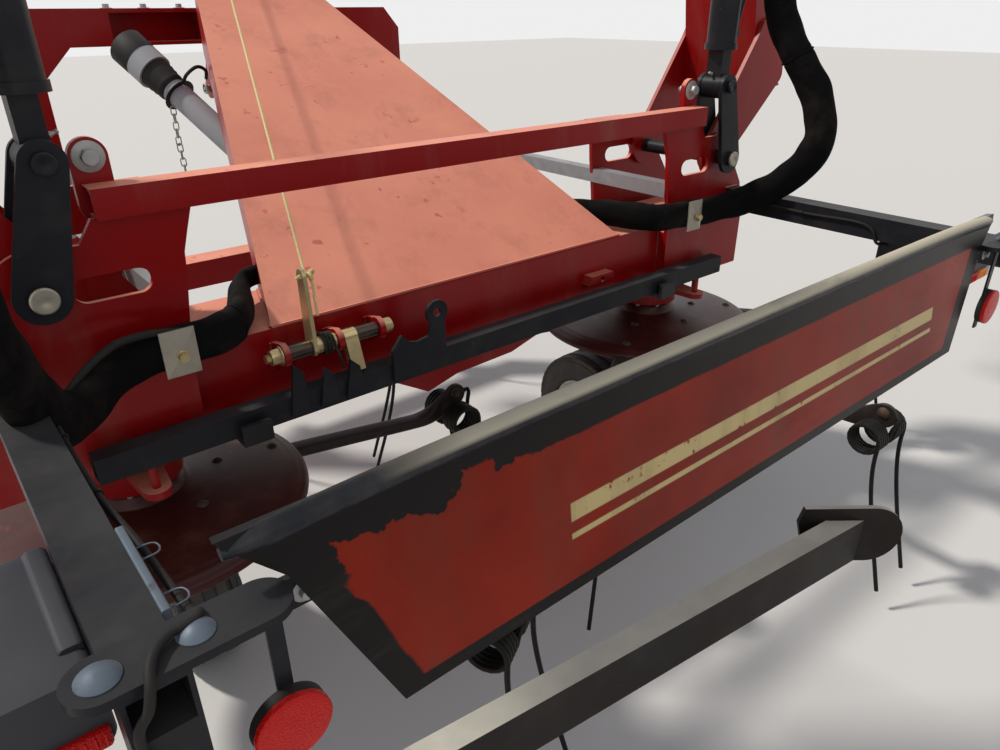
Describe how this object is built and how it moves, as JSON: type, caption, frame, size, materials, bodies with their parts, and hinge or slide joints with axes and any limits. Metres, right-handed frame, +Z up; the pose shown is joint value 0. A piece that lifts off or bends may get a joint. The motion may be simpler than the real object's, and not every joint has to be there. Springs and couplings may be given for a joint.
{
  "type": "hay tedder",
  "caption": "Tractor-mounted rotary hay tedder with folding wings, sprung tined rotors over steered wheels, a sloping tower to a swivelling headstock, and a rear guard panel.",
  "frame": {"origin": "on the ground under the middle of the parked machine with its wings folded up", "axes": "+X to the machine's right, +Y forwards to the tractor, +Z up"},
  "size_m": [3.6575, 2.4998, 3.7117],
  "materials": {
    "red_paint": "satin",
    "black_paint": "satin",
    "rotor_paint": "worn",
    "rim_paint": "worn",
    "grey_paint": "galvanised",
    "tyre": "matt",
    "rod_steel": "polished",
    "zinc_plate": "zinc plated",
    "guard_plastic": "matt",
    "lamp_plastic": "matt",
    "reflector_plastic": "gloss",
    "rope": "braided",
    "hose_sleeve": "matt"
  },
  "bodies": {
    "frame": {"beam": "red_paint", "tower": "red_paint", "cross_tube": "red_paint", "hinge_brackets": "red_paint", "side_stops": "grey_paint", "hinge_links": "black_paint", "gear_housings": "red_paint", "centre_gearbox": "red_paint", "drive_shaft": "guard_plastic", "guard_arms": "black_paint", "guard_panel": "black_paint", "guard_straps": "black_paint", "lamp_boxes": "lamp_plastic", "reflectors": "reflector_plastic", "rear_bar": "black_paint", "latch_bracket": "red_paint", "latch_lever": "zinc_plate", "pull_rope": "rope", "hoses": "hose_sleeve"},
    "headstock": {"headstock": "red_paint"},
    "stand_left": {"stand_left": "grey_paint"},
    "stand_right": {"stand_right": "grey_paint"},
    "steering_rail": {"steering_rail": "black_paint"},
    "wing_left": {"wing_left": "red_paint"},
    "wing_right": {"wing_right": "red_paint"},
    "wing_rail_left": {"wing_rail_left": "black_paint"},
    "wing_rail_right": {"wing_rail_right": "black_paint"},
    "barrel_left": {"barrel_left": "black_paint"},
    "barrel_right": {"barrel_right": "black_paint"},
    "rod_left": {"rod_left": "rod_steel"},
    "rod_right": {"rod_right": "rod_steel"},
    "rotor_inner_left": {"rotor_inner_left": "rotor_paint"},
    "rotor_inner_right": {"rotor_inner_right": "rotor_paint"},
    "rotor_outer_left": {"rotor_outer_left": "rotor_paint"},
    "rotor_outer_right": {"rotor_outer_right": "rotor_paint"},
    "leg_inner_left": {"leg_inner_left": "red_paint"},
    "leg_inner_right": {"leg_inner_right": "red_paint"},
    "leg_outer_left": {"leg_outer_left": "red_paint"},
    "leg_outer_right": {"leg_outer_right": "red_paint"},
    "wheel_inner_left": {"tyre_inner_left": "tyre", "rim_inner_left": "rim_paint"},
    "wheel_inner_right": {"tyre_inner_right": "tyre", "rim_inner_right": "rim_paint"},
    "wheel_outer_left": {"tyre_outer_left": "tyre", "rim_outer_left": "rim_paint"},
    "wheel_outer_right": {"tyre_outer_right": "tyre", "rim_outer_right": "rim_paint"}
  },
  "joints": [
    {"name": "wing_fold_left", "type": "hinge", "parent": "frame", "child": "wing_left", "pos_m": [-0.9, -0.138, 1.1], "axis": [0, -1, 0], "range_deg": [0, 99]},
    {"name": "barrel_turn_left", "type": "hinge", "parent": "frame", "child": "barrel_left", "pos_m": [-0.85, -0.29, 1.3], "axis": [0, -1, 0], "range_deg": [0, 107.55]},
    {"name": "rod_slide_left", "type": "slide", "parent": "barrel_left", "child": "rod_left", "axis": [0, 0, 1], "range_m": [0, 0.2912]},
    {"name": "rotor_spin_inner_left", "type": "hinge", "parent": "frame", "child": "rotor_inner_left", "pos_m": [-0.81, -0.138, 0.575], "axis": [0, 0, 1], "continuous": true},
    {"name": "rotor_spin_outer_left", "type": "hinge", "parent": "wing_left", "child": "rotor_outer_left", "pos_m": [-1.17919, -0.138, 2.69329], "axis": [0.9877, 0, -0.1564], "continuous": true},
    {"name": "leg_steer_inner_left", "type": "hinge", "parent": "frame", "child": "leg_inner_left", "pos_m": [-0.81, -0.138, 0.2], "axis": [0, 0, 1], "range_deg": [-10.6, 10.6]},
    {"name": "leg_steer_outer_left", "type": "hinge", "parent": "wing_left", "child": "leg_outer_left", "pos_m": [-1.54957, -0.138, 2.75195], "axis": [0.9877, 0, -0.1564], "range_deg": [-10.6, 10.6]},
    {"name": "wing_rail_slide_left", "type": "slide", "parent": "wing_left", "child": "wing_rail_left", "axis": [-0.1564, 0, -0.9877], "range_m": [-0.035, 0.035]},
    {"name": "wheel_spin_inner_left", "type": "hinge", "parent": "leg_inner_left", "child": "wheel_inner_left", "pos_m": [-0.732, 0.002, 0.2], "axis": [1, 0, 0], "continuous": true},
    {"name": "wheel_spin_outer_left", "type": "hinge", "parent": "leg_outer_left", "child": "wheel_outer_left", "pos_m": [-1.56178, 0.002, 2.67491], "axis": [-0.1564, 0, -0.9877], "continuous": true},
    {"name": "stand_slide_left", "type": "slide", "parent": "headstock", "child": "stand_left", "axis": [0, 0, 1], "range_m": [0, 0.35]},
    {"name": "wing_fold_right", "type": "hinge", "parent": "frame", "child": "wing_right", "pos_m": [0.9, -0.138, 1.1], "axis": [0, 1, 0], "range_deg": [0, 99]},
    {"name": "barrel_turn_right", "type": "hinge", "parent": "frame", "child": "barrel_right", "pos_m": [0.85, -0.29, 1.3], "axis": [0, 1, 0], "range_deg": [0, 107.55]},
    {"name": "rod_slide_right", "type": "slide", "parent": "barrel_right", "child": "rod_right", "axis": [0, 0, 1], "range_m": [0, 0.2912]},
    {"name": "rotor_spin_inner_right", "type": "hinge", "parent": "frame", "child": "rotor_inner_right", "pos_m": [0.81, -0.138, 0.575], "axis": [0, 0, 1], "continuous": true},
    {"name": "rotor_spin_outer_right", "type": "hinge", "parent": "wing_right", "child": "rotor_outer_right", "pos_m": [1.17919, -0.138, 2.69329], "axis": [-0.9877, 0, -0.1564], "continuous": true},
    {"name": "leg_steer_inner_right", "type": "hinge", "parent": "frame", "child": "leg_inner_right", "pos_m": [0.81, -0.138, 0.2], "axis": [0, 0, 1], "range_deg": [-10.6, 10.6]},
    {"name": "leg_steer_outer_right", "type": "hinge", "parent": "wing_right", "child": "leg_outer_right", "pos_m": [1.54957, -0.138, 2.75195], "axis": [-0.9877, 0, -0.1564], "range_deg": [-10.6, 10.6]},
    {"name": "wing_rail_slide_right", "type": "slide", "parent": "wing_right", "child": "wing_rail_right", "axis": [-0.1564, 0, 0.9877], "range_m": [-0.035, 0.035]},
    {"name": "wheel_spin_inner_right", "type": "hinge", "parent": "leg_inner_right", "child": "wheel_inner_right", "pos_m": [0.732, 0.002, 0.2], "axis": [1, 0, 0], "continuous": true},
    {"name": "wheel_spin_outer_right", "type": "hinge", "parent": "leg_outer_right", "child": "wheel_outer_right", "pos_m": [1.56178, 0.002, 2.67491], "axis": [-0.1564, 0, 0.9877], "continuous": true},
    {"name": "stand_slide_right", "type": "slide", "parent": "headstock", "child": "stand_right", "axis": [0, 0, 1], "range_m": [0, 0.35]},
    {"name": "rail_slide", "type": "slide", "parent": "frame", "child": "steering_rail", "axis": [1, 0, 0], "range_m": [-0.035, 0.035]},
    {"name": "headstock_swivel", "type": "hinge", "parent": "frame", "child": "headstock", "pos_m": [0, 0.992, 1.518], "axis": [0, 0, 1], "range_deg": [-8, 8]}
  ],
  "couplings": [
    {"joint": "barrel_turn_left", "follows": "wing_fold_left", "ratio": 1.0862},
    {"joint": "rod_slide_left", "follows": "wing_fold_left", "m_per_rad": 0.16847},
    {"joint": "barrel_turn_right", "follows": "wing_fold_right", "ratio": 1.0862},
    {"joint": "rod_slide_right", "follows": "wing_fold_right", "m_per_rad": 0.16847},
    {"joint": "rotor_spin_inner_right", "follows": "rotor_spin_inner_left", "ratio": -1},
    {"joint": "rotor_spin_outer_left", "follows": "rotor_spin_inner_left", "ratio": -1},
    {"joint": "rotor_spin_outer_right", "follows": "rotor_spin_inner_left", "ratio": 1},
    {"joint": "leg_steer_inner_left", "follows": "rail_slide", "rad_per_m": 5.2632},
    {"joint": "leg_steer_outer_left", "follows": "rail_slide", "rad_per_m": 5.2632},
    {"joint": "wing_rail_slide_left", "follows": "rail_slide", "ratio": 1},
    {"joint": "leg_steer_inner_right", "follows": "rail_slide", "rad_per_m": 5.2632},
    {"joint": "leg_steer_outer_right", "follows": "rail_slide", "rad_per_m": 5.2632},
    {"joint": "wing_rail_slide_right", "follows": "rail_slide", "ratio": 1}
  ]
}
